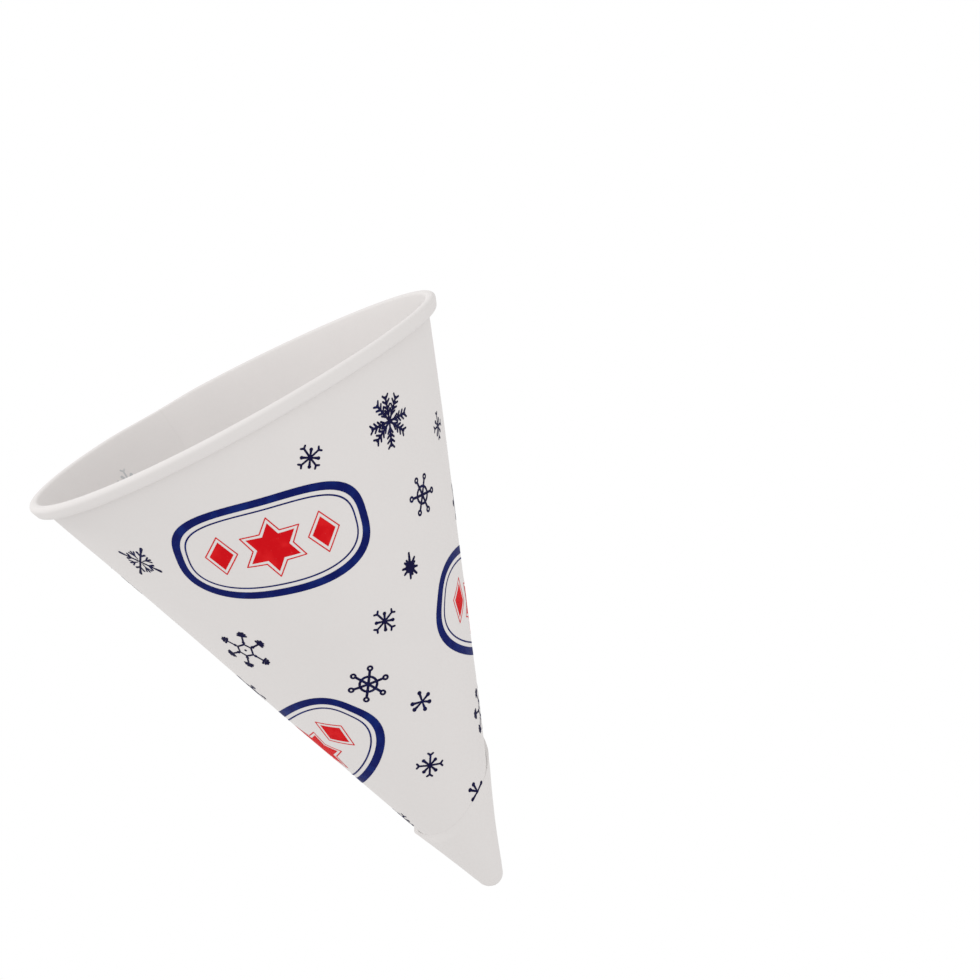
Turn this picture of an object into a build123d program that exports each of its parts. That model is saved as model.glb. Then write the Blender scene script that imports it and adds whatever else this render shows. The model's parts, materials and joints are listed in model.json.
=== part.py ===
from build123d import *

import os
from math import acos, atan2, cos, degrees, hypot, pi, radians, sin, sqrt, tan

# Paper cone cup, rolled from one sheet, standing on its curled rim with the point up.
# Millimetres and degrees. The origin is the centre of the rim on the table, +Z runs to the point.

# The cone
cup_height = 105.0
mouth_radius = 40.6  # the wall's outer face, carried straight down to the table
paper = 0.25
tip_radius = 2.45  # outside of the blunt point, with both turns of the sheet
tip_plug = 1.2  # crushed paper that closes the point

# The rolled rim
curl_width = 1.9  # across the roll, square to the wall
curl_length = 2.8  # end to end of the roll, along the wall
crown_flat = 0.3  # pressed ring that the rim stands on
tuck_gap = 0.12  # between the wall and the end tucked into the roll
tuck_length = 0.35

# The sheet's outer edge is straight before it is rolled
edge_distance = 21.6  # least distance from the cone's point to that edge
edge_azimuth = -50.0  # direction in which the edge comes that near
seam_lap = 9.0  # overlap at the mouth
drape = 1.5  # width over which the outer turn comes down off the inner edge

# Places on the section, as radius and height. The tip is a ball that the wall runs tangent to.
ball_height = cup_height - tip_radius
inner_turn_radius = tip_radius - paper
half_angle = acos(inner_turn_radius / hypot(mouth_radius, ball_height)) - atan2(ball_height, mouth_radius)
lean, rise = sin(half_angle), cos(half_angle)
apex_height = ball_height + inner_turn_radius / lean
down = Vector(lean, -rise)
outward = Vector(rise, lean)
plug_radius = (inner_turn_radius - paper - (tip_radius - tip_plug) * lean) / (1 - lean)
plug_height = cup_height - tip_plug - plug_radius

# The roll turns outward about two bends, which share the wall's direction
crown_bend = (curl_width - paper - crown_flat * rise) / 2
tuck_bend = (curl_width - 2 * paper - tuck_gap) / 2
curl_run = curl_length - crown_bend - tuck_bend - paper
bend_height = paper / 2 + crown_bend * (1 - lean)
wall_end = Vector(mouth_radius - bend_height * tan(half_angle) - paper / 2 / rise, bend_height)


def wall_point(offset):
    """Where the wall starts to curl, on the face that lies offset outside the sheet's middle."""
    return wall_end + outward * offset


def ball_arc(height, radius):
    """Arc of the tip, from the axis to where the wall runs off it."""
    return CenterArc((0, height), radius, 90, degrees(half_angle) - 90)


def curl_face(offset):
    """One face of the rolled rim, from the wall round to the tucked end, which it returns."""
    turn = degrees(half_angle)
    crown_in = JernArc(wall_point(offset), down, crown_bend - offset, 90 - turn)
    crown = Line(crown_in @ 1, crown_in @ 1 + Vector(crown_flat, 0))
    crown_out = JernArc(crown @ 1, (1, 0), crown_bend - offset, 90 + turn)
    run = Line(crown_out @ 1, crown_out @ 1 - down * curl_run)
    tuck = JernArc(run @ 1, down * -1, tuck_bend - offset, 180)
    end = Line(tuck @ 1, tuck @ 1 + down * tuck_length)
    return end @ 1


# Where the sheet's straight outer edge lies on the cone. Along the edge, each point has a
# slant distance from the apex and a turn, which is its flat angle divided by the cone's lean.
mouth_slant = (apex_height - bend_height) / rise
edge_clearance = 3.0  # how far the cut runs on past the mouth
seam_turn = acos(edge_distance / mouth_slant) / lean
inner_edge_turn = seam_turn + seam_lap / (mouth_slant * lean)
flap_angle = (2 * pi - inner_edge_turn) * lean
flap_end = -edge_distance * tan(flap_angle)
edge_end = sqrt((mouth_slant + edge_clearance) ** 2 - edge_distance**2)
edge_steps = 28
inner_edge_azimuth = edge_azimuth - degrees(inner_edge_turn)


def edge_curve(radius):
    """The outer edge's heights, drawn at one distance from the axis."""
    points = []
    for step in range(edge_steps + 1):
        along = flap_end + (edge_end - flap_end) * step / edge_steps
        slant = hypot(edge_distance, along)
        azimuth = radians(edge_azimuth) - atan2(along, edge_distance) / lean
        points.append((radius * cos(azimuth), radius * sin(azimuth), apex_height - slant * rise))
    return Edge.make_spline(points)


# A sheet from near the axis to outside the rim, through the outer edge
cut_inside = tip_radius / 4
cut_outside = mouth_radius + curl_width + paper
edge_cut = Face.make_surface_from_curves(edge_curve(cut_inside), edge_curve(cut_outside))

# The generator over the sheet's inner edge, where the outer turn drapes down to the wall
drape_azimuth = radians(inner_edge_azimuth)
drape_generator = Vector(lean * cos(drape_azimuth), lean * sin(drape_azimuth), -rise)
drape_tangent = Vector(-sin(drape_azimuth), cos(drape_azimuth), 0)
drape_start = hypot(edge_distance, flap_end)
drape_plane = Plane(
    origin=Vector(0, 0, apex_height) + drape_generator * drape_start,
    x_dir=drape_tangent,
    z_dir=drape_generator,
)

# The outer turn: the whole way round at the point, and the glued seam up to the mouth
with BuildPart() as outer_turn:
    with BuildSketch(Plane.XZ):
        with BuildLine():
            outside = ball_arc(ball_height, tip_radius)
            middle = ball_arc(ball_height, inner_turn_radius - paper / 2)
            face = Line(outside @ 1, wall_point(paper * 1.5))
            foot = Line(face @ 1, wall_end)
            Line(foot @ 1, middle @ 1)
            Line(middle @ 0, outside @ 0)
        make_face()
    revolve(axis=Axis.Z)
    extrude(edge_cut, amount=cup_height, dir=(0, 0, -1), mode=Mode.SUBTRACT)
    with BuildSketch(drape_plane):
        with BuildLine():
            Polyline((0, 0), (drape, paper), (drape, 2 * paper), (0, 2 * paper), close=True)
        make_face()
    extrude(amount=mouth_slant, mode=Mode.SUBTRACT)

# The cup: the inner turn with its rolled rim, and the outer turn on it
with BuildPart() as cone_cup:
    with BuildSketch(Plane.XZ):
        with BuildLine():
            tip = ball_arc(ball_height, inner_turn_radius)
            plug = ball_arc(plug_height, plug_radius)
            Line(tip @ 1, wall_point(paper / 2))
            Line(plug @ 1, wall_point(-paper / 2))
            Line(curl_face(paper / 2), curl_face(-paper / 2))
            Line(plug @ 0, tip @ 0)
        make_face()
    revolve(axis=Axis.Z)
    add(outer_turn.part)

cone_cup.part.label = "cone_cup"
os.makedirs("parts", exist_ok=True)
export_step(cone_cup.part, "parts/cone_cup.step")
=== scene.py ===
"""Dresses a cone paper cup: the rolled sheet, its print in blue and red, and a plain studio stage.

The cup is made as the real one is. A flat blank is cut, the print is laid out on the same flat
blank, and one rolling rule turns both into the cone with its lapped seam, wrapped point and curled rim.
"""

import json
import math
from functools import partialmethod

import bpy
import numpy as np
from bpy.props import FloatProperty, FloatVectorProperty, IntProperty, PointerProperty
from mathutils import Matrix, Vector
from mathutils.geometry import delaunay_2d_cdt

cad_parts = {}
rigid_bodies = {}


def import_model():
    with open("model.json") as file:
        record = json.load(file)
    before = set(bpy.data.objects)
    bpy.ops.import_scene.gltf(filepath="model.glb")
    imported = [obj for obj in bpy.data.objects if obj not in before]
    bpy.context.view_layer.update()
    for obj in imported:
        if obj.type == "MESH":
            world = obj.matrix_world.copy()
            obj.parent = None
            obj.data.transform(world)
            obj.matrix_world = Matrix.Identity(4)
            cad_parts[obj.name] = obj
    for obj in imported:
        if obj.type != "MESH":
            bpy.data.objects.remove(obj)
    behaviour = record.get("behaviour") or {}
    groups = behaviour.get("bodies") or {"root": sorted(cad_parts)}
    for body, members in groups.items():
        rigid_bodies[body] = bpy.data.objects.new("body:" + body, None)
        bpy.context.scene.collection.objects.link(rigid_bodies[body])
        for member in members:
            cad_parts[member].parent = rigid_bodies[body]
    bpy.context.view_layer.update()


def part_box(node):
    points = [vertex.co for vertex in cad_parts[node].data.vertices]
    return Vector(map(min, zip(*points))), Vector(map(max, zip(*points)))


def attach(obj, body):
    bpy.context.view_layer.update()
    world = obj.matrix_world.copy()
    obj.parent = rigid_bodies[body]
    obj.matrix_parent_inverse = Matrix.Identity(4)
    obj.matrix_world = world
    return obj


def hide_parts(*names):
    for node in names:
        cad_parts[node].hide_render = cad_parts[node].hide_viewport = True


bl_info = {
    "name": "Cone Paper Cup",
    "version": (1, 0, 0),
    "blender": (4, 5, 0),
    "location": "3D View > Sidebar > Cone Cup",
    "description": "Rolls a printed paper blank into a cone cup and sets it on a plain stage",
    "category": "Add Mesh",
}

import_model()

MM = 0.001
BODY = "root"
NODE = "cone_cup"
LOW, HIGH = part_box(NODE)
TURN = 2 * math.pi
BAKE_MAP = "OFBake"
OVERHANG = 1.4  # millimetres from the mouth's radius to the outside of the roll
LEAST_RADIUS = 3 * MM  # widths along the sheet's edges narrow no further towards the point than here


def number_property(name, description, default, **kind):
    """A property that holds a number. Its kind is a unit or a subtype."""
    return FloatProperty(name=name, description=description, default=default, **kind)


def length_property(name, description, millimetres):
    """A property that holds a length."""
    return number_property(name, description, millimetres * MM, unit="LENGTH")


def colour_property(name, description, default):
    """A property that holds a colour."""
    return FloatVectorProperty(name=name, description=description, default=default, size=3, subtype="COLOR")


class CupSizes(bpy.types.PropertyGroup):
    """Sizes of the paper blank and of the cone that it is rolled into."""

    height: length_property("Height", "From the rim to the point", (HIGH[2] - LOW[2]) / MM)
    mouth_radius: length_property("Mouth Radius", "Of the wall's face at the table", HIGH[0] / MM - OVERHANG)
    paper: length_property("Paper", "Thickness of the sheet", 0.25)
    ply_gap: length_property("Ply Gap", "Air between two turns of the sheet", 0.012)
    tip_radius: length_property("Point Radius", "Outside of the blunt point, both turns", 2.45)
    pinhole: length_property("Pinhole", "Radius left open where the turns meet at the point", 0.12)
    tip_plug: length_property("Point Plug", "Crushed paper that closes the point", 1.2)
    curl_width: length_property("Curl Width", "Across the roll, square to the wall", 1.9)
    curl_length: length_property("Curl Length", "End to end of the roll, along the wall", 2.8)
    crown_flat: length_property("Crown Flat", "Pressed ring that the rim stands on", 0.3)
    tuck_gap: length_property("Tuck Gap", "Between the wall and the tucked end", 0.12)
    tuck_length: length_property("Tuck Length", "Straight end of the sheet in the roll", 0.35)
    edge_distance: length_property("Edge Distance", "Least distance from the point to the outer edge", 21.6)
    edge_bow: length_property("Edge Bow", "How far that edge bows towards the point elsewhere", 1.15)
    edge_azimuth: number_property("Edge Azimuth", "Where it is nearest", math.radians(-50), unit="ROTATION")
    edge_lift: length_property("Edge Lift", "How far the outer edge stands off the cone where it gapes", 0.75)
    edge_reach: length_property("Edge Reach", "How far from the edge the lift dies away", 3.6)
    edge_body: number_property("Edge Body", "Share of that lift that the paper fills", 0.9, subtype="FACTOR")
    pressed_edge: length_property("Pressed Edge", "Width over which the sheet's edges are pressed thin", 2.2)
    seam_lap: length_property("Seam Lap", "Overlap of the two turns at the mouth", 9)
    drape: length_property("Drape", "Width over which the sheet climbs over its inner edge", 3.5)
    out_of_round: length_property("Out of Round", "How far the mouth is from a true circle", 0.13)
    waviness: length_property("Waviness", "Soft unevenness of the wall", 0.16)
    crush: length_property("Crush", "Unevenness of the pressed point", 0.3)
    tip_swell: length_property("Point Swell", "How much looser the sheet winds near the point", 0.08)
    tip_lean: length_property("Point Lean", "How far the blunt point sits to one side", 0.36)
    belly: length_property("Belly", "How far the wall swells below its middle", 0.14)
    saddle: length_property("Saddle", "How far the rim rises and falls twice round its ring", 0.22)
    dent: length_property("Dent", "How far the rim is pushed in at one side", 0.4)


class CupInks(bpy.types.PropertyGroup):
    """Colours of the paper and the inks, and sizes of the print."""

    paper_colour: colour_property("Paper", "Bare paper", (0.742, 0.718, 0.709))
    edge_colour: colour_property("Cut Edge", "Raw edge of the paper", (0.7, 0.68, 0.67))
    blue: colour_property("Blue Ink", "The badges' bands", (0.0015, 0.006, 0.1))
    dark_blue: colour_property("Dark Blue Ink", "The snowflakes' lines", (0.003, 0.002, 0.035))
    red: colour_property("Red Ink", "The badges' stars and lozenges", (0.62, 0.0015, 0.006))
    seen_through: colour_property("Seen Through", "Print that shows through the sheet", (0.53, 0.54, 0.55))
    film: length_property("Ink Film", "Thickness of the printed film", 0.02)
    clearance: length_property("Ink Clearance", "Gap that keeps the film off the paper's face", 0.012)
    line: length_property("Line", "Width of a snowflake's lines", 0.46)
    band: length_property("Band", "Width of the badge's band", 1.5)
    badge_length: length_property("Badge Length", "End to end", 36.2)
    badge_height: length_property("Badge Height", "Top to bottom", 20.6)


class CupStage(bpy.types.PropertyGroup):
    """Camera, floor and light."""

    frame_width: IntProperty(name="Frame Width", description="Of the photo", default=980, subtype="PIXEL")
    focal: number_property("Focal Length", "Of the camera", 3500, subtype="PIXEL")
    daylight: number_property("Daylight", "Strength of the even light all round", 0.9)
    front: number_property("Front Lamp", "Power of the lamp before the rim", 0.1, unit="POWER")
    low_lamp: number_property("Low Lamp", "Power of the lamp that shines into the mouth", 2.4, unit="POWER")


def cone_of(sizes):
    """The cone's angles, the places on its section, and the track round it, from the cup's sizes."""
    ball_height = sizes.height - sizes.tip_radius
    inner_radius = sizes.tip_radius - sizes.paper
    reach = math.hypot(sizes.mouth_radius, ball_height)
    angle = math.acos(inner_radius / reach) - math.atan2(ball_height, sizes.mouth_radius)
    lean, rise = math.sin(angle), math.cos(angle)
    crown_bend = (sizes.curl_width - sizes.paper - sizes.crown_flat * rise) / 2
    bend_height = sizes.paper / 2 + crown_bend * (1 - lean)
    apex_height = ball_height + inner_radius / lean
    mouth_slant = (apex_height - bend_height) / rise
    seam_turn = math.acos(sizes.edge_distance / mouth_slant) / lean
    inner_edge_turn = seam_turn + sizes.seam_lap / (mouth_slant * lean)
    cone = {
        "angle": angle,
        "lean": lean,
        "ball_height": ball_height,
        "ball": inner_radius - sizes.paper / 2,
        "crown_bend": crown_bend,
        "tuck_bend": (sizes.curl_width - 2 * sizes.paper - sizes.tuck_gap) / 2,
        "tangent_run": inner_radius / math.tan(angle),
        "mouth_slant": mouth_slant,
        "inner_edge_azimuth": sizes.edge_azimuth - inner_edge_turn,
        "lap_end": TURN + inner_edge_turn - seam_turn,
        "nearest_turn": TURN + inner_edge_turn,
    }
    add_track(sizes, cone)
    return cone


class Track:
    """A line on the cup's section, as radius and height, drawn by going straight and round bends."""

    bend_step = math.radians(6)

    def __init__(self, place, heading):
        self.points = [Vector(place)]
        self.heading = heading
        self.length = 0.0

    def left(self):
        """Square to the heading, on its left."""
        return Vector((-math.sin(self.heading), math.cos(self.heading)))

    def straight(self, length, ends=0.0):
        """Goes on for a length, with extra points close to its ends if asked."""
        ahead = Vector((math.cos(self.heading), math.sin(self.heading)))
        start = self.points[-1]
        stops = [ends, length - ends, length] if ends else [length]
        self.points += [start + ahead * stop for stop in stops]
        self.length += length

    def bend(self, radius, angle):
        """Turns left by an angle, or right if it is negative."""
        side = math.copysign(1, angle)
        centre = self.points[-1] + side * radius * self.left()
        steps = math.ceil(abs(angle) / self.bend_step)
        for _ in range(steps):
            self.heading += angle / steps
            self.points.append(centre - side * radius * self.left())
        self.length += radius * abs(angle)


def add_track(sizes, cone):
    """Adds the middle of the sheet from the point, down the wall and round the rolled rim."""
    start = math.asin(sizes.pinhole / cone["ball"])
    place = (sizes.pinhole, cone["ball_height"] + cone["ball"] * math.cos(start))
    track = Track(place, -start)
    track.bend(cone["ball"], -(math.pi / 2 - cone["angle"] - start))
    cone["ball_length"] = track.length
    cone["run_start"] = cone["tangent_run"] - track.length
    track.straight(cone["mouth_slant"] - cone["tangent_run"], ends=0.1 * MM)
    wall_length = track.length
    track.bend(cone["crown_bend"], math.pi / 2 - cone["angle"])
    track.straight(sizes.crown_flat)
    track.bend(cone["crown_bend"], math.pi / 2 + cone["angle"])
    track.straight(sizes.curl_length - cone["crown_bend"] - cone["tuck_bend"] - sizes.paper)
    track.bend(cone["tuck_bend"], math.pi)
    track.straight(sizes.tuck_length)
    cone["curl_length"] = track.length - wall_length
    cone["track"] = track


class Wire:
    """A node's output, on which Python's operators add Math nodes."""

    def __init__(self, graph, socket):
        self.graph = graph
        self.socket = socket

    def math(self, operation, *others):
        values = dict(enumerate((self, *others)))
        return self.graph.node("ShaderNodeMath", values, operation=operation)["Value"]

    def __rsub__(self, other):
        return self.graph.node("ShaderNodeMath", {0: other, 1: self}, operation="SUBTRACT")["Value"]

    __add__ = __radd__ = partialmethod(math, "ADD")
    __sub__ = partialmethod(math, "SUBTRACT")
    __mul__ = __rmul__ = partialmethod(math, "MULTIPLY")
    __truediv__ = partialmethod(math, "DIVIDE")
    __pow__ = partialmethod(math, "POWER")

    def smooth(self, low, high):
        """0 below low, 1 above high, and a soft step between."""
        values = {"Value": self, "From Min": low, "From Max": high}
        return self.graph.node("ShaderNodeMapRange", values, interpolation_type="SMOOTHSTEP")["Result"]


class Made:
    """A node that was added. Its outputs are read by name or number."""

    def __init__(self, graph, node):
        self.graph = graph
        self.raw = node

    def __getitem__(self, name):
        return Wire(self.graph, self.raw.outputs[name])


class Graph:
    """Adds nodes to a tree, of a material, a world or a modifier."""

    def __init__(self, tree):
        self.tree = tree

    def node(self, kind, values=None, **settings):
        """Adds a node. Its settings are set first, then its sockets get values or links."""
        made = self.tree.nodes.new(kind)
        for name, value in settings.items():
            setattr(made, name, value)
        for name, value in (values or {}).items():
            if isinstance(value, Wire):
                self.tree.links.new(value.socket, made.inputs[name])
            else:
                made.inputs[name].default_value = value
        return Made(self, made)

    def noise(self, place, size, detail=2.0, roughness=0.5):
        """Soft noise from 0 to 1 whose features are about as large as size."""
        values = {"Vector": place, "Scale": 1 / size, "Detail": detail, "Roughness": roughness}
        return self.node("ShaderNodeTexNoise", values)["Fac"]

    def mix(self, factor, first, second):
        """A colour between two others."""
        return self.node("ShaderNodeMix", {0: factor, 6: first, 7: second}, data_type="RGBA")[2]


def group_with(name, sockets):
    """A node group that takes and gives geometry, with more named sockets. Its tree, graph and inputs."""
    tree = bpy.data.node_groups.new(name, "GeometryNodeTree")
    tree.interface.new_socket("Geometry", in_out="OUTPUT", socket_type="NodeSocketGeometry")
    for label, kind in {"Geometry": "Geometry", **sockets}.items():
        tree.interface.new_socket(label, in_out="INPUT", socket_type="NodeSocket" + kind)
    graph = Graph(tree)
    return tree, graph, graph.node("NodeGroupInput")


# Sizes that the rolling rule takes as they are, each through a socket of its own name
ROLL_SIZES = (
    "drape", "out_of_round", "waviness", "crush", "tip_swell", "tip_lean", "belly", "dent", "saddle"
)
ROLL_SOCKETS = {
    "Profile": "Object",
    **dict.fromkeys(("Run Start", "Wall Run", "Inner Edge", "Ply", *ROLL_SIZES), "Float"),
}


def widening(share):
    """How much wider the sheet eases off at its inner edge near the mouth, by the share of the wall's run."""
    most, power = 3, 8
    return 1 + share ** power * most


def roll_group():
    """The rolling rule. Turn, run and lift place a point of the sheet on the cup.

    Turn is the angle from the sheet's inner edge, run the way along the section from the cone's
    sharp apex, and lift the height over the middle of the first turn's paper.
    """
    wave_size, crush_size = 22 * MM, 1.6 * MM
    crushed_length, leaning_length = 7 * MM, 14 * MM
    swell_start, swell_full, swell_end = 3 * MM, 12 * MM, 26 * MM
    wave_full, belly_start, belly_full, belly_kept, belly_end = 0.4, 0.08, 0.3, 0.4, 0.85
    oval_angle, saddle_angle = 0.6, math.radians(-100)
    sockets = {"Turn": "Float", "Run": "Float", "Lift": "Float", **ROLL_SOCKETS}
    tree, graph, given = group_with("Roll Round the Cone", sockets)
    profile = graph.node("GeometryNodeObjectInfo", {"Object": given["Profile"]}, transform_space="ORIGINAL")
    along = given["Run"] - given["Run Start"]
    sampled = graph.node(
        "GeometryNodeSampleCurve", {"Curves": profile["Geometry"], "Length": along}, mode="LENGTH"
    )
    place = graph.node("ShaderNodeSeparateXYZ", {0: sampled["Position"]})
    tangent = graph.node("ShaderNodeVectorMath", {0: sampled["Tangent"]}, operation="NORMALIZE")
    ahead = graph.node("ShaderNodeSeparateXYZ", {0: tangent["Vector"]})
    radius, height = place["X"], place["Z"]

    # The sheet climbs over its inner edge, more gently at the mouth
    share = (given["Run"] / given["Wall Run"]).math("MINIMUM", 1.0)
    climb = given["drape"] * widening(share) / radius.math("MAXIMUM", LEAST_RADIUS)
    laps = given["Turn"].smooth(TURN - climb, TURN) + given["Turn"].smooth(2 * TURN - climb, 2 * TURN)
    lift = given["Lift"] + laps * given["Ply"]

    # Unevenness, outwards
    azimuth = given["Turn"] + given["Inner Edge"]
    cosine, sine = azimuth.math("COSINE"), azimuth.math("SINE")
    base = graph.node("ShaderNodeCombineXYZ", {"X": radius * cosine, "Y": radius * sine, "Z": height})
    uneven = (graph.noise(base["Vector"], wave_size, detail=1.0) - 0.5) * given["waviness"] * 2
    uneven = uneven * share.smooth(0.0, wave_full)
    crushed = (graph.noise(base["Vector"], crush_size, detail=1.0) - 0.5) * given["crush"]
    crushed = crushed * (1 - along.smooth(0.0, crushed_length))
    oval = (2 * azimuth + oval_angle).math("COSINE") * given["out_of_round"] * share ** 3
    swollen = (1 - along.smooth(swell_full, swell_end)) * along.smooth(0.0, swell_start) * given["tip_swell"]
    belly = share.smooth(belly_start, belly_full) * (1 - share.smooth(belly_kept, belly_end)) * given["belly"]
    dent = (cosine * -1).math("MAXIMUM", 0.0) ** 10 * share ** 12 * given["dent"]
    out = radius - ahead["Z"] * lift + uneven + crushed + oval + belly + swollen - dent

    # Unevenness, down to the rim's side and across
    far_side = sine.math("MAXIMUM", 0.0) ** 2 / 2
    saddle = (far_side + (2 * azimuth + saddle_angle).math("COSINE")) * share ** 6 * given["saddle"]
    up = height + ahead["X"] * lift - saddle
    aside = (1 - along.smooth(0.0, leaning_length)) * given["tip_lean"]
    place = graph.node("ShaderNodeCombineXYZ", {"X": out * cosine - aside, "Y": out * sine, "Z": up})
    values = {"Geometry": given["Geometry"], "Position": place["Vector"]}
    moved = graph.node("GeometryNodeSetPosition", values)
    graph.node("NodeGroupOutput", {"Geometry": moved["Geometry"]})
    return tree


def give_out_rolled(graph, given, geometry, turn, run, lift):
    """Adds the rolling rule to another tree, and gives out its geometry there."""
    values = {"Geometry": geometry, "Turn": turn, "Run": run, "Lift": lift}
    values.update({label: given[label] for label in ROLL_SOCKETS})
    solid = graph.node("GeometryNodeGroup", values, node_tree=roll_group())["Geometry"]
    graph.node("NodeGroupOutput", {"Geometry": solid})


def position(graph):
    """A vertex's own place, as three wires by name."""
    return graph.node("ShaderNodeSeparateXYZ", {0: graph.node("GeometryNodeInputPosition")["Position"]})


def sheet_tree():
    """Rolls a blank whose vertices hold turn, run and lift as X, Y and Z."""
    tree, graph, given = group_with("Rolled Sheet", ROLL_SOCKETS)
    flat = position(graph)
    give_out_rolled(graph, given, given["Geometry"], flat["X"], flat["Y"], flat["Z"])
    return tree


def print_tree():
    """Sets motifs on the flat blank's points, and rolls them up with the sheet."""
    sockets = {"Motifs": "Collection", "Cone Lean": "Float", "Face": "Float", **ROLL_SOCKETS}
    tree, graph, given = group_with("Printed Motifs", sockets)
    values = {"Collection": given["Motifs"], "Separate Children": True, "Reset Children": True}
    motifs = graph.node("GeometryNodeCollectionInfo", values)
    kind = graph.node("GeometryNodeInputNamedAttribute", {"Name": "motif"}, data_type="INT")
    turned = graph.node("GeometryNodeInputNamedAttribute", {"Name": "turned"}, data_type="FLOAT")
    angles = graph.node("ShaderNodeCombineXYZ", {"Z": turned["Attribute"]})
    spin = graph.node("FunctionNodeEulerToRotation", {"Euler": angles["Vector"]})
    values = {"Points": given["Geometry"], "Instance": motifs["Instances"], "Pick Instance": True}
    values.update({"Instance Index": kind["Attribute"], "Rotation": spin["Rotation"]})
    laid = graph.node("GeometryNodeInstanceOnPoints", values)
    solid = graph.node("GeometryNodeRealizeInstances", {"Geometry": laid["Instances"]})
    flat = position(graph)
    slant = (flat["X"] * flat["X"] + flat["Y"] * flat["Y"]).math("SQRT")
    turn = flat["Y"].math("ARCTAN2", flat["X"]) / given["Cone Lean"]
    give_out_rolled(graph, given, solid["Geometry"], turn, slant, flat["Z"] + given["Face"])
    return tree


def slab_mesh(name, points, faces, low, high):
    """A closed slab over flat faces that turn left, and its count of side faces.

    low and high are one height each, or one for each point.
    """
    count = len(points)
    flat = np.asarray(points, float)
    floor = np.column_stack([flat, np.broadcast_to(low, count)])
    top = np.column_stack([flat, np.broadcast_to(high, count)])
    edges = {(face[i], face[(i + 1) % len(face)]) for face in faces for i in range(len(face))}
    border = sorted(edge for edge in edges if (edge[1], edge[0]) not in edges)
    sides = [(b + count, a + count, a, b) for a, b in border]
    under = [tuple(i + count for i in reversed(face)) for face in faces]
    mesh = bpy.data.meshes.new(name)
    mesh.from_pydata(np.vstack([top, floor]).tolist(), [], [tuple(f) for f in faces] + under + sides)
    mesh.update()
    return mesh, len(sides)


def new_object(name, data):
    """An object at the origin, linked to the scene."""
    made = bpy.data.objects.new(name, data)
    bpy.context.scene.collection.objects.link(made)
    return made


def forget(*objects):
    """Deletes helper objects and their data."""
    for made in objects:
        data = made.data
        bpy.data.objects.remove(made)
        kind = bpy.data.meshes if isinstance(data, bpy.types.Mesh) else bpy.data.curves
        kind.remove(data)


def profile_object(track):
    """The section as a curve that the rolling rule samples."""
    curve = bpy.data.curves.new("section_profile", "CURVE")
    curve.dimensions = "3D"
    spline = curve.splines.new("POLY")
    spline.points.add(len(track.points) - 1)
    for point, (radius, height) in zip(spline.points, track.points):
        point.co = (radius, 0, height, 1)
    return new_object("section_profile", curve)


def roll_up(name, flat, tree, values):
    """An object whose flat mesh has gone through a tree with the rolling rule in it."""
    sizes = bpy.context.scene.cup_sizes
    cone = cone_of(sizes)
    made, profile = new_object(name, flat), profile_object(cone["track"])
    values = {
        **values,
        **{size: getattr(sizes, size) for size in ROLL_SIZES},
        "Profile": profile,
        "Run Start": cone["run_start"],
        "Wall Run": cone["mouth_slant"],
        "Inner Edge": cone["inner_edge_azimuth"],
        "Ply": sizes.paper + sizes.ply_gap,
    }
    modifier = made.modifiers.new(tree.name, "NODES")
    modifier.node_group = tree
    for socket in tree.interface.items_tree:
        if socket.name in values:
            modifier[socket.identifier] = values[socket.name]
    made.update_tag()
    evaluated = made.evaluated_get(bpy.context.evaluated_depsgraph_get())
    mesh = bpy.data.meshes.new_from_object(evaluated)
    made.modifiers.remove(modifier)
    made.data = mesh
    mesh.name = name
    bpy.data.meshes.remove(flat)
    forget(profile)
    return made


def sheet_turns(cone):
    """Angles of the sheet's columns, closer together where it climbs over its inner edge."""
    coarse, fine, climb = math.radians(2), math.radians(0.5), math.radians(8)
    starts = [0, climb, TURN - climb, TURN, cone["lap_end"], 2 * TURN - climb, 2 * TURN]
    steps = [fine, coarse, fine, coarse, coarse, fine]
    turns = []
    for first, last, step in zip(starts, starts[1:], steps):
        count = math.ceil((last - first) / step)
        turns += [first + (last - first) * i / count for i in range(count)]
    return [*turns, 2 * TURN]


def hump(turn, middle, width):
    """A soft hump, 1 at its middle. Its middle and width are in degrees."""
    return math.exp(-(((math.degrees(turn) - middle) / width) ** 2))


def edge_gape(turn):
    """How far the outer edge gapes, from 0 to 1, by the turn from where it comes nearest to the point."""
    gapes = ((0.72, -133, 19), (0.95, 53, 15))
    return max(share * hump(turn, middle, width) for share, middle, width in gapes)


def edge_from_point(sizes, turn):
    """Distance of the outer edge's line from the point, by the same turn."""
    kept, middle, width = 0.9, -79, 34
    return sizes.edge_distance - sizes.edge_bow * (1 - kept * hump(turn, middle, width))


def pressed(share):
    """Share of the paper's thickness that is pressed away, by the share of the way in from a cut edge."""
    most, way = 0.9, min(max(share, 0), 1)
    return (1 - way * way * (3 - 2 * way)) * most


def sheet_faces(sizes, cone, turn, run, to_edge, gape):
    """Heights of the sheet's inner and outer face, from its distance to the outer edge and how that gapes."""
    at_edge = pressed(to_edge / sizes.pressed_edge)
    lift = sizes.edge_lift * gape * math.exp(-to_edge / sizes.edge_reach)
    middle = lift - at_edge * sizes.ply_gap * (1 - gape)
    width = sizes.pressed_edge * widening(min(run / cone["mouth_slant"], 1))
    from_inner_edge = turn * max(run * cone["lean"], LEAST_RADIUS)
    thinned = pressed(from_inner_edge / width) * sizes.paper - lift * sizes.edge_body
    worn = at_edge * sizes.paper * (1 - gape / 2)
    return middle - sizes.paper / 2 + thinned, middle + sizes.paper / 2 - worn


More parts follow.
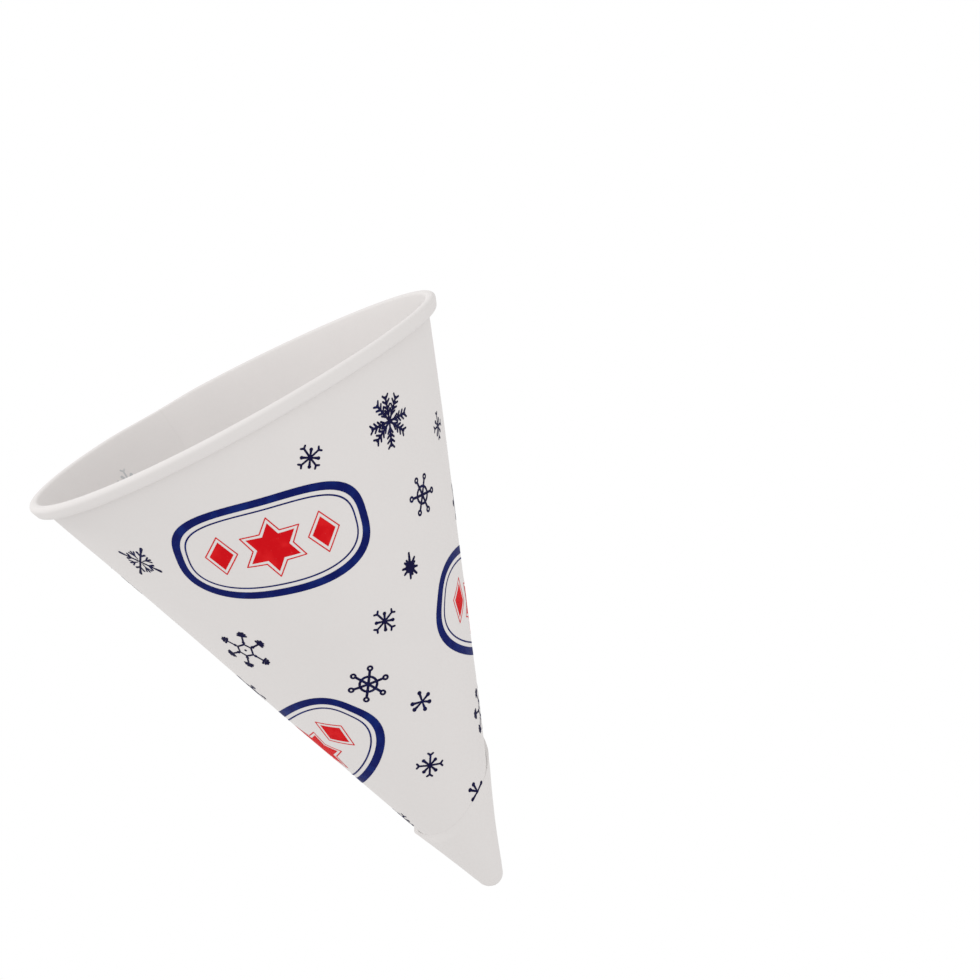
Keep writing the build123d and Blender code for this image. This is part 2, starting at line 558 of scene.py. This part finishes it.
def flat_blank(sizes, cone):
    """The blank as a closed slab, with turn, run and lift for X, Y and Z, and its count of side faces."""
    ball_rows, wall_rows, curl_rows = 9, 42, 30
    mouth = cone["mouth_slant"]
    ball = cone["run_start"] + cone["ball_length"] * np.arange(ball_rows) / ball_rows
    curl = mouth + cone["curl_length"] * np.arange(1, curl_rows + 1) / curl_rows
    points, index, faces = [], {}, []
    for column, turn in enumerate(sheet_turns(cone)):
        from_nearest = turn - cone["nearest_turn"]
        cosine = math.cos(from_nearest * cone["lean"])
        top, line, gape, beyond = mouth, math.inf, 0, curl
        if turn > cone["lap_end"]:
            line = edge_from_point(sizes, from_nearest)
            top, gape, beyond = min(mouth, line / cosine), edge_gape(from_nearest), []
        wall = cone["tangent_run"] + (top - cone["tangent_run"]) * np.arange(wall_rows + 1) / wall_rows
        for row, run in enumerate([*ball, *wall, *beyond]):
            index[column, row] = len(points)
            to_edge = max(line - run * cosine, 0)
            points.append((turn, run, *sheet_faces(sizes, cone, turn, run, to_edge, gape)))
    for column, row in index:
        ring = [(column, row), (column + 1, row), (column + 1, row + 1), (column, row + 1)]
        if all(place in index for place in ring):
            faces.append([index[place] for place in reversed(ring)])
    points = np.array(points)
    return slab_mesh("paper_cup", points[:, :2], faces, points[:, 2], points[:, 3])


def lay_flat_map(mesh, lean):
    """The bake's map: both faces of the blank as cut flat, side by side."""
    turn, run = np.array([corner.co[:2] for corner in mesh.vertices]).T
    flat = np.stack([run * np.cos(turn * lean), run * np.sin(turn * lean)], 1)
    low, high, gap = flat.min(0), flat.max(0), 0.01
    scale = (1 - 3 * gap) / max(high[0] - low[0], 2 * (high[1] - low[1]))
    places = (flat - low) * scale + gap
    half = len(places) // 2
    places[half:, 1] += (high[1] - low[1]) * scale + gap
    loops = [loop.vertex_index for loop in mesh.loops]
    layer = mesh.uv_layers.new(name=BAKE_MAP)
    layer.uv.foreach_set("vector", places[loops].astype(np.float32).ravel())


def plug_mesh(sizes, cone):
    """The crushed paper inside the point, a lens between the sheet and the blunt inner end."""
    depth = sizes.tip_radius - sizes.tip_plug
    inner = (sizes.tip_radius - 2 * sizes.paper - depth * cone["lean"]) / (1 - cone["lean"])
    inner_height = sizes.height - sizes.tip_plug - inner
    outer = cone["ball"] - sizes.paper * 0.45  # just under the sheet's inner face
    steps, around = 10, 48
    angles = [(math.pi / 2 - cone["angle"]) * i / steps for i in range(steps + 1)]
    arcs = ((outer, cone["ball_height"], angles), (inner, inner_height, angles[::-1]))
    rings = [
        (radius * math.sin(angle), height + radius * math.cos(angle))
        for radius, height, way in arcs
        for angle in way
    ]
    body = rings[1:-1]
    points = [(0, 0, rings[0][1])]
    points += [(radius * c, radius * s, height) for radius, height in body for c, s in circle(around)]
    points.append((0, 0, rings[-1][1]))
    last = len(points) - 1 - around
    faces = []
    for k in range(around):
        following = (k + 1) % around
        faces.append((0, 1 + k, 1 + following))
        faces.append((last + k, len(points) - 1, last + following))
        for first in range(1, last, around):
            second = first + around
            faces.append((first + k, second + k, second + following, first + following))
    mesh = bpy.data.meshes.new("point_plug")
    mesh.from_pydata(points, [], faces)
    mesh.update()
    return mesh


def circle(count):
    """Cosine and sine of evenly spaced turns."""
    return [(math.cos(TURN * i / count), math.sin(TURN * i / count)) for i in range(count)]


class Stencil:
    """Patches on the flat sheet, in metres, that a function draws and that are merged into one motif."""

    step = 1.0 * MM
    small = 0.4 * MM

    def __init__(self, draw, *sizes):
        self.patches = []
        draw(self, *sizes)

    def polygon(self, *corners):
        """A patch whose corners turn left and make no dent."""
        self.patches.append([Vector(corner) for corner in corners])

    def dot(self, centre, radius):
        """A round spot."""
        corners = circle(14 if radius > self.small else 8)
        self.polygon(*((centre[0] + radius * c, centre[1] + radius * s) for c, s in corners))

    def bar(self, start, end, width, end_width=None):
        """A line with round ends, cut into short lengths so that it bends with the cone."""
        start, end = Vector(start), Vector(end)
        end_width = width if end_width is None else end_width
        across = (end - start).orthogonal().normalized()
        pieces = max(1, math.ceil((end - start).length / self.step))
        for i in range(pieces):
            a, b = start.lerp(end, i / pieces), start.lerp(end, (i + 1) / pieces)
            side_a = across * (width + (end_width - width) * i / pieces) / 2
            side_b = across * (width + (end_width - width) * (i + 1) / pieces) / 2
            self.polygon(a - side_a, b - side_b, b + side_b, a + side_a)
        self.dot(start, width / 2)
        self.dot(end, end_width / 2)

    def loop(self, points, width):
        """A closed line through points."""
        for a, b in zip(points, points[1:] + points[:1]):
            self.bar(a, b, width)

    def ring(self, centre, radius, width, count=20):
        """A round line."""
        self.loop([Vector((centre + radius * c, radius * s)) for c, s in circle(count)], width)

    def fork(self, place, length, spread, width, end_width=None):
        """Two bars that leave a place on X, spread degrees to either side of it."""
        for side in (-1, 1):
            turn = math.radians(side * spread)
            tip = (place + length * math.cos(turn), length * math.sin(turn))
            self.bar((place, 0), tip, width, end_width)

    def band(self, length, height, width, count=96):
        """A band round a soft rectangle, with its outside length and height."""
        softness = 0.7
        unit = [[math.copysign(abs(part) ** softness, part) for part in corner] for corner in circle(count)]
        outer = [Vector((length / 2 * c, height / 2 * s)) for c, s in unit]
        inner = [Vector(((length / 2 - width) * c, (height / 2 - width) * s)) for c, s in unit]
        for i in range(count):
            self.polygon(outer[i - 1], outer[i], inner[i], inner[i - 1])

    def arms(self, turns, draw, *reaches):
        """Draws an arm along X for each turn in degrees. A reach is one for all arms, or one for each."""
        for i, turn in enumerate(turns):
            before = len(self.patches)
            draw(*(reach[i] if isinstance(reach, tuple) else reach for reach in reaches))
            swing = Matrix.Rotation(math.radians(turn), 2)
            for patch in self.patches[before:]:
                patch[:] = [swing @ corner for corner in patch]

    def mesh(self, name, thickness):
        """One closed slab with the outline of all patches merged."""
        corners, outlines = [], []
        for patch in self.patches:
            first = len(corners)
            for i, corner in enumerate(patch):
                parts = math.ceil((corner - patch[i - 1]).length / self.step)
                corners += [patch[i - 1].lerp(corner, part / parts) for part in range(parts)]
            last = len(corners) - 1
            outlines += [(last, first)] + [(i, i + 1) for i in range(first, last)]
        cells = math.ceil(max(max(abs(c.x), abs(c.y)) for c in corners) / self.step)
        rows, same_place = range(-cells, cells + 1), 1e-4
        corners += [Vector((i, j + 0.5 * (i % 2))) * self.step for i in rows for j in rows]
        found = delaunay_2d_cdt([corner / MM for corner in corners], outlines, [], 0, same_place)
        places, faces = np.array(found[0]) * MM, np.array(found[2])
        middles = places[faces].mean(1)
        inked = np.zeros(len(faces), bool)
        for patch in self.patches:
            ring = np.array(patch)
            side = np.roll(ring, -1, 0) - ring
            apart = middles[:, None] - ring[None]
            inked |= (side[:, 0] * apart[..., 1] - side[:, 1] * apart[..., 0] > 0).all(1)
        used, renamed = np.unique(faces[inked], return_inverse=True)
        shown = renamed.reshape(-1, 3).tolist()
        return slab_mesh(name, places[used], shown, 0.0, thickness)[0]


def draw_fern(flake, line):
    """Eight barbed arms whose inner barbs join up."""

    def arm(reach):
        flake.bar((0, 0), (reach * 0.86, 0), line, line * 1.1)
        for place, length, spread in ((0.24, 0.22, 34), (0.44, 0.21, 50), (0.62, 0.21, 52), (0.8, 0.2, 46)):
            flake.fork(reach * place, reach * length, spread, line * 1.1, line * 0.85)

    flake.arms((85, 28, -5, -43, -97, -138, 168, 118), arm, 5.2 * MM)


def draw_feather(flake, line):
    """Four long arms that end in leaves, and four short barbed ones."""

    def long_arm(reach):
        flake.bar((0, 0), (reach * 0.72, 0), line * 0.9)
        flake.bar((reach * 0.72, 0), (reach * 0.95, 0), line * 1.1, line * 1.5)
        flake.fork(reach * 0.4, reach * 0.26, 42, line * 0.8, line * 1.1)

    def short_arm(reach):
        flake.bar((reach * 0.25, 0), (reach * 0.95, 0), line * 0.5, line * 0.9)
        flake.fork(reach * 0.5, reach * 0.45, 30, line * 0.5, line * 0.8)

    flake.arms((128, 40, -53, 215), long_arm, (4.5 * MM, 4.4 * MM, 4.4 * MM, 4.3 * MM))
    flake.arms((83, -7, -97, 173), short_arm, 2.9 * MM)


def draw_hexagon(flake, line):
    """A six-sided ring with a dot in it, and arms that end in cross-bars."""
    ring, turns = 1.6 * MM, (90, 143, 206, 274, 326, 393)
    corners = [ring * Vector((math.cos(math.radians(turn)), math.sin(math.radians(turn)))) for turn in turns]
    flake.loop(corners, line * 0.85)
    flake.dot((0, 0), line * 0.6)

    def arm(reach):
        flake.bar((ring, 0), (reach, 0), line * 0.85)
        flake.dot((2.1 * MM, 0), line * 0.8)
        for place, half in ((0.83, 0.85), (0.93, 0.7), (1.01, 0.35)):
            for side in (-1, 1):
                flake.bar((reach * place, 0), (reach * (place + 0.02), side * half * MM), line * 0.95)

    flake.arms(turns, arm, 4.6 * MM)


def draw_ringed(flake, line, turns=(84, 29, -32, -98, -154, 147)):
    """Six spokes through a ring, each with a small ring at its end."""

    def arm(reach):
        flake.bar((0, 0), (reach - 0.42 * MM, 0), line * 1.1)
        flake.ring(reach, 0.42 * MM, line * 0.9, 12)

    flake.arms(turns, arm, 3.32 * MM)
    flake.ring(0, 1.6 * MM, line * 1.05)


def draw_wide_ringed(flake, line):
    """The ringed snowflake with its arms set less evenly."""
    draw_ringed(flake, line, (81, 17, -31, -99, -165, 147))


def draw_eight(flake, line):
    """Four forked arms, and four short ones that swell to round ends."""

    def forked(reach):
        flake.bar((0, 0), (reach, 0), line * 0.9, line * 0.85)
        flake.fork(reach * 0.97, 0.62 * MM, 52, line * 0.95, line * 0.85)

    def blunt(reach):
        flake.bar((0, 0), (reach, 0), line * 0.6, line * 1.2)
        flake.dot((reach, 0), line * 0.8)

    flake.arms((-2, 90, 180, 271), forked, (2.2 * MM, 2.1 * MM, 2.0 * MM, 2.1 * MM))
    flake.arms((48, 140, 224, -43), blunt, (1.62 * MM, 1.7 * MM, 1.62 * MM, 1.5 * MM))
    flake.dot((0, 0), 0.56 * MM)


def draw_six(flake, line):
    """Six arms that swell to round ends."""

    def arm(reach):
        flake.bar((0, 0), (reach, 0), line * 0.7, line * 1.2)
        flake.dot((reach, 0), line * 0.92)

    reaches = (2.05 * MM, 1.95 * MM, 1.85 * MM, 1.7 * MM, 1.55 * MM, 1.72 * MM)
    flake.arms((111, 75, -3, -68, -123, 179), arm, reaches)


def draw_burst(flake, line):
    """A solid centre with uneven blunt spikes."""

    def spike(reach):
        flake.bar((0, 0), (reach, 0), line * 1.6, line * 0.95)

    turns = (165, 115, 77, 36, 15, -12, -50, -70, -110, -149, 185)
    reaches = (2.1, 1.75, 1.75, 1.6, 1.6, 2.7, 2.0, 1.4, 1.7, 2.1, 1.5)
    flake.arms(turns, spike, tuple(reach * MM for reach in reaches))
    flake.dot((0, 0), 1.15 * MM)


def star_points(reach, waist, count=6):
    """Corners of a star that stands on one point, points and waists in turn."""
    return [Vector((-s, c)) * (waist if i % 2 else reach) for i, (c, s) in enumerate(circle(2 * count))]


def draw_badge_band(badge, inks):
    """The badge's band, with a thin line inside it."""
    space, hairline = 0.75 * MM, 0.3 * MM
    badge.band(inks.badge_length, inks.badge_height, inks.band)
    inset = 2 * (inks.band + space)
    badge.band(inks.badge_length - inset, inks.badge_height - inset, hairline)


def draw_badge_star(badge):
    """The badge's red figure: a six-pointed star between two lozenges, each with a thin outline."""
    reach, waist, hairline = 5.1 * MM, 2.9 * MM, 0.22 * MM
    star = star_points(reach, waist)
    for i in range(0, len(star), 2):
        badge.polygon((0, 0), star[i - 1], star[i], star[(i + 1) % len(star)])
    badge.loop(star_points(reach + 1.1 * MM, waist + 0.75 * MM), hairline)
    for centre in (Vector((-9.4 * MM, 0)), Vector((9.4 * MM, 0))):
        filled, outline = (
            [centre + Vector((half_length * c, half_height * s)) for c, s in circle(4)]
            for half_length, half_height in ((2.2 * MM, 3.1 * MM), (2.95 * MM, 4.15 * MM))
        )
        badge.polygon(*filled)
        badge.loop(outline, hairline)


# An eight near the rim whose ink also shows through the sheet, on the inside
SEEN_THROUGH = (107.2, 48, 14)

# Where each kind of snowflake lies: millimetres from the cone's sharp point, azimuth and turn in
# degrees. The azimuth counts on past a full turn on the sheet's outer end.
SNOWFLAKES = {
    draw_fern: [(101.1, -129.6, 0), (93.6, 0.4, 20)],
    draw_feather: [(99, -35.6, 0), (37, 88, 60), (71.5, -236, 33)],
    draw_hexagon: [(73.6, -41.2, 0), (38.2, -169.8, 0), (74, 82, 12)],
    draw_ringed: [
        (63.8, -8.4, 18), (56.9, -81.9, 0), (77.7, -174.6, 7), (104, 22, -20), (60, 54, 10), (104.3, -231, 5),
        (42, -208, 15),
    ],
    draw_wide_ringed: [(84.5, -137.7, 0)],
    draw_eight: [
        (103.3, -101.2, 12), (66.9, -102.6, 24), (93.6, -158.2, 0), (35.2, -90.2, -25), (25.6, -9, 20),
        SEEN_THROUGH, (103, 80, 40), (45, 64, 25), (103, -258, 20), (73, -204, -10),
    ],
    draw_six: [(48.1, -104.7, 0), (24.5, -129.3, -58), (73, 16, 40), (58, 86, -15)],
    draw_burst: [(73.6, -122.1, 0), (74, 30, 70), (102, -200, 120)],
}

# Where each badge lies, in the same terms. Its turn is that of its long side.
BADGES = [(91.1, -79, 75), (46.8, -14, 103), (58.3, -178.6, 79), (89, 46, 84), (88, -223, 97)]


def points_on_blank(name, cone, places):
    """Vertices on the flat blank, with the motif's number and turn as attributes."""
    corners, kinds, turns = [], [], []
    for kind, slant, azimuth, turned in places:
        angle = (math.radians(azimuth) - cone["inner_edge_azimuth"]) * cone["lean"]
        corners.append((slant * MM * math.cos(angle), slant * MM * math.sin(angle), 0))
        kinds.append(kind)
        turns.append(angle + math.radians(turned))
    mesh = bpy.data.meshes.new(name)
    mesh.from_pydata(corners, [], [])
    mesh.attributes.new("motif", "INT", "POINT").data.foreach_set("value", kinds)
    mesh.attributes.new("turned", "FLOAT", "POINT").data.foreach_set("value", turns)
    return mesh


def print_piece(name, motifs, material, inside=False):
    """One ink's print, stencils with their places, rolled up on the sheet's outer face or its inner one."""
    sizes, inks = bpy.context.scene.cup_sizes, bpy.context.scene.cup_inks
    face = sizes.paper / 2 + inks.clearance
    face = -face - inks.film if inside else face
    cone = cone_of(sizes)
    drawn = bpy.data.collections.new(name + "_motifs")
    bpy.context.scene.collection.children.link(drawn)
    numbered = []
    for number, (stencil, places) in enumerate(motifs):
        label = f"{name}_motif_{number}"
        mesh = stencil.mesh(label, inks.film)
        mesh.materials.append(material)
        drawn.objects.link(bpy.data.objects.new(label, mesh))
        numbered += [(number, *place) for place in places]
    points = points_on_blank(name, cone, numbered)
    made = roll_up(name, points, print_tree(), {"Motifs": drawn, "Cone Lean": cone["lean"], "Face": face})
    forget(*drawn.objects)
    bpy.data.collections.remove(drawn)
    seat(made)


def seat(made):
    """Smooths faces up to crisp edges, and rides on the one body."""
    mesh = made.data
    mesh.polygons.foreach_set("use_smooth", [True] * len(mesh.polygons))
    mesh.set_sharp_from_angle(angle=math.radians(50))
    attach(made, BODY)


def plain_material(name):
    """A material with an empty tree, its graph, and its Object coordinates."""
    material = bpy.data.materials.new(name)
    material.use_nodes = True
    material.node_tree.nodes.clear()
    graph = Graph(material.node_tree)
    return material, graph, graph.node("ShaderNodeTexCoord")["Object"]


def matt_surface(graph, colour, roughness, normal, specular):
    """Ends a material's tree in one matt surface."""
    values = {"Base Color": colour, "Roughness": roughness, "Normal": normal, "Specular IOR Level": specular}
    shader = graph.node("ShaderNodeBsdfPrincipled", values)
    graph.node("ShaderNodeOutputMaterial", {"Surface": shader["BSDF"]})


def paper_finish(graph, place, colour, colour_depth, grain_height):
    """Paper's fibre mottling, soft clouds and fine uneven grain. Returns its colour, grain and normal."""
    fibre = graph.noise(place, 0.55 * MM, detail=4.0, roughness=0.65)
    cloud = graph.noise(place, 9 * MM, detail=3.0)
    grain = graph.noise(place, 0.22 * MM, detail=3.0, roughness=0.6)
    tone = 1 + (fibre - 0.5) * colour_depth + (cloud - 0.5) * colour_depth * 0.8
    shade = graph.node("ShaderNodeVectorMath", {0: (*colour,), 3: tone}, operation="SCALE")["Vector"]
    height = grain * 0.6 + fibre * 0.4
    bump = graph.node("ShaderNodeBump", {"Strength": 0.5, "Distance": grain_height, "Height": height})
    return shade, grain, bump["Normal"]


def paper_material(inks):
    """White uncoated cup paper."""
    material, graph, place = plain_material("cup_paper")
    shade, grain, normal = paper_finish(graph, place, inks.paper_colour, 0.035, 0.018 * MM)
    matt_surface(graph, shade, 0.74 + (grain - 0.5) * 0.12, normal, 0.28)
    return material


def edge_material(inks):
    """The sheet's cut edge: bare, slightly darker fibres."""
    material, graph, place = plain_material("cut_paper_edge")
    shade, _, normal = paper_finish(graph, place, inks.edge_colour, 0.16, 0.03 * MM)
    matt_surface(graph, shade, 0.92, normal, 0.15)
    return material


def ink_material(name, colour, lighter):
    """Matt ink that the paper's fibres show through in places."""
    paper_colour = bpy.context.scene.cup_inks.paper_colour
    material, graph, place = plain_material(name)
    fibre = graph.noise(place, 0.5 * MM, detail=3.0, roughness=0.6)
    wash = graph.noise(place, 2.6 * MM, detail=2.0)
    speck = graph.noise(place, 0.3 * MM, detail=2.0)
    shade = graph.mix(wash.smooth(0.42, 0.74) * 0.75, (*colour, 1), (*lighter, 1))
    bare = speck.smooth(0.68, 0.8) * fibre.smooth(0.35, 0.6) * 0.15
    shade = graph.mix(bare, shade, (*paper_colour, 1))
    bump = graph.node("ShaderNodeBump", {"Strength": 0.4, "Distance": 0.015 * MM, "Height": fibre})
    matt_surface(graph, shade, 0.62 + (fibre - 0.5) * 0.2, bump["Normal"], 0.08)
    return material


class CUP_OT_roll_sheet(bpy.types.Operator):
    """Cut the flat blank and roll it into the paper cone with its curled rim"""

    bl_idname = "cup.roll_sheet"
    bl_label = "Roll the Paper"

    def execute(self, context):
        sizes, inks = context.scene.cup_sizes, context.scene.cup_inks
        cone = cone_of(sizes)
        paper = paper_material(inks)
        mesh, sides = flat_blank(sizes, cone)
        lay_flat_map(mesh, cone["lean"])
        mesh.materials.append(paper)
        mesh.materials.append(edge_material(inks))
        for side in mesh.polygons[-sides:]:
            side.material_index = 1
        cup = roll_up("paper_cup", mesh, sheet_tree(), {})
        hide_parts(NODE)
        seat(cup)
        plug = new_object("point_plug", plug_mesh(sizes, cone))
        plug.data.materials.append(paper)
        seat(plug)
        return {"FINISHED"}


class CUP_OT_print_flakes(bpy.types.Operator):
    """Print the snowflakes in dark blue"""

    bl_idname = "cup.print_flakes"
    bl_label = "Print the Snowflakes"

    def execute(self, context):
        inks = context.scene.cup_inks
        ink = ink_material("dark_blue_ink", inks.dark_blue, (0.006, 0.009, 0.07))
        motifs = [(Stencil(draw, inks.line), places) for draw, places in SNOWFLAKES.items()]
        print_piece("snowflakes", motifs, ink)
        return {"FINISHED"}


class CUP_OT_print_badges(bpy.types.Operator):
    """Print the badges' bands in blue, and their stars and lozenges in red"""

    bl_idname = "cup.print_badges"
    bl_label = "Print the Badges"

    def execute(self, context):
        inks = context.scene.cup_inks
        blue = ink_material("blue_ink", inks.blue, (0.004, 0.02, 0.16))
        red = ink_material("red_ink", inks.red, (0.72, 0.012, 0.015))
        print_piece("badge_bands", [(Stencil(draw_badge_band, inks), BADGES)], blue)
        print_piece("badge_stars", [(Stencil(draw_badge_star), BADGES)], red)
        return {"FINISHED"}


class CUP_OT_show_through(bpy.types.Operator):
    """Let a snowflake near the rim show through to the cup's inside"""

    bl_idname = "cup.show_through"
    bl_label = "Print Showing Through"

    def execute(self, context):
        inks = context.scene.cup_inks
        ink = ink_material("print_seen_through", inks.seen_through, inks.paper_colour)
        motifs = [(Stencil(draw_eight, inks.line), [SEEN_THROUGH])]
        print_piece("print_seen_through", motifs, ink, inside=True)
        return {"FINISHED"}


def white_world(settings):
    """Even light all round, and a white background where the camera looks past the cup."""
    world = bpy.data.worlds.new("studio")
    bpy.context.scene.world = world
    world.use_nodes = True
    world.node_tree.nodes.clear()
    graph = Graph(world.node_tree)
    path = graph.node("ShaderNodeLightPath")
    seen = path["Is Camera Ray"].math("MAXIMUM", path["Is Glossy Ray"])
    seen = seen.math("MAXIMUM", path["Is Transmission Ray"])
    light = graph.node("ShaderNodeBackground", {"Color": (1, 0.992, 0.985, 1), "Strength": settings.daylight})
    white = graph.node("ShaderNodeBackground", {"Color": (1, 1, 1, 1), "Strength": 1.0})
    mixed = graph.node("ShaderNodeMixShader", {0: seen, 1: light["Background"], 2: white["Background"]})
    graph.node("ShaderNodeOutputWorld", {"Surface": mixed["Shader"]})


def pale_floor():
    """A round pale floor. It shows from above only, fades out with distance, and throws nothing back."""
    half, fade_from, fade_to = 1.5, 0.22, 0.9
    mesh = bpy.data.meshes.new("floor")
    corners = [(-half, -half, 0), (half, -half, 0), (half, half, 0), (-half, half, 0)]
    mesh.from_pydata(corners, [], [(0, 1, 2, 3)])
    floor = new_object("floor", mesh)
    material, graph, place = plain_material("pale_floor")
    far = graph.node("ShaderNodeVectorMath", {0: place}, operation="LENGTH")["Value"]
    behind = graph.node("ShaderNodeNewGeometry")["Backfacing"]
    clear = far.smooth(fade_from, fade_to).math("MAXIMUM", behind)
    matt = graph.node("ShaderNodeBsdfDiffuse", {"Color": (0.93, 0.93, 0.93, 1)})
    gone = graph.node("ShaderNodeBsdfTransparent")
    mixed = graph.node("ShaderNodeMixShader", {0: clear, 1: matt["BSDF"], 2: gone["BSDF"]})
    graph.node("ShaderNodeOutputMaterial", {"Surface": mixed["Shader"]})
    mesh.materials.append(material)
    for ray in ("diffuse", "glossy", "transmission", "shadow"):
        setattr(floor, "visible_" + ray, False)


def lamp(name, place, size, power):
    """A square soft lamp that points at the cup's mouth."""
    mouth = Vector((0, 0, 0.01))
    data = bpy.data.lights.new(name, "AREA")
    data.shape = "SQUARE"
    data.size = size
    data.energy = power
    made = new_object(name, data)
    made.visible_camera = False
    made.location = place
    made.rotation_euler = (mouth - Vector(place)).to_track_quat("-Z", "Y").to_euler()


def photo_camera(settings):
    """The photograph's view: a long lens a little below the rim's plane, turned on its side."""
    place = Vector((0.0, -0.6401, -0.0714))
    ahead = Vector((-0.05232, 0.98433, 0.1684)).normalized()
    up = Vector((-0.47232, 0.12419, -0.87263))
    across = ahead.cross(up).normalized()
    up = across.cross(ahead)
    data = bpy.data.cameras.new("camera")
    data.sensor_width = 36.0
    data.lens = data.sensor_width * settings.focal / settings.frame_width
    data.clip_start = 0.01
    camera = new_object("camera", data)
    camera.matrix_world = Matrix.Translation(place) @ Matrix((across, up, -ahead)).transposed().to_4x4()
    bpy.context.scene.camera = camera


class CUP_OT_stage(bpy.types.Operator):
    """Set the camera, the floor and the light"""

    bl_idname = "cup.stage"
    bl_label = "Set the Stage"

    def execute(self, context):
        settings = context.scene.cup_stage
        context.scene.view_settings.view_transform = "Standard"
        photo_camera(settings)
        white_world(settings)
        pale_floor()
        lamp("front_lamp", place=(-0.15, -0.36, -0.012), size=0.15, power=settings.front)
        lamp("low_lamp", place=(0.52, -0.095, -0.79), size=0.3, power=settings.low_lamp)
        return {"FINISHED"}


class CUP_PT_panel(bpy.types.Panel):
    """Lists the steps that make the cup"""

    bl_label = "Cone Cup"
    bl_idname = "CUP_PT_panel"
    bl_space_type = "VIEW_3D"
    bl_region_type = "UI"
    bl_category = "Cone Cup"

    def draw(self, context):
        scene = context.scene
        for step in OPERATORS:
            self.layout.operator(step.bl_idname)
        for group in (scene.cup_sizes, scene.cup_inks, scene.cup_stage):
            box = self.layout.box()
            for name in group.__annotations__:
                box.prop(group, name)


GROUPS = {"cup_sizes": CupSizes, "cup_inks": CupInks, "cup_stage": CupStage}
OPERATORS = (CUP_OT_roll_sheet, CUP_OT_print_flakes, CUP_OT_print_badges, CUP_OT_show_through, CUP_OT_stage)


def register():
    for made in (*GROUPS.values(), *OPERATORS, CUP_PT_panel):
        bpy.utils.register_class(made)
    for name, group in GROUPS.items():
        setattr(bpy.types.Scene, name, PointerProperty(type=group))


def unregister():
    for name in GROUPS:
        delattr(bpy.types.Scene, name)
    for made in (CUP_PT_panel, *reversed(OPERATORS), *GROUPS.values()):
        bpy.utils.unregister_class(made)


def main():
    register()
    bpy.ops.cup.roll_sheet()
    bpy.ops.cup.print_flakes()
    bpy.ops.cup.print_badges()
    bpy.ops.cup.show_through()
    bpy.ops.cup.stage()


if __name__ == "__main__":
    main()
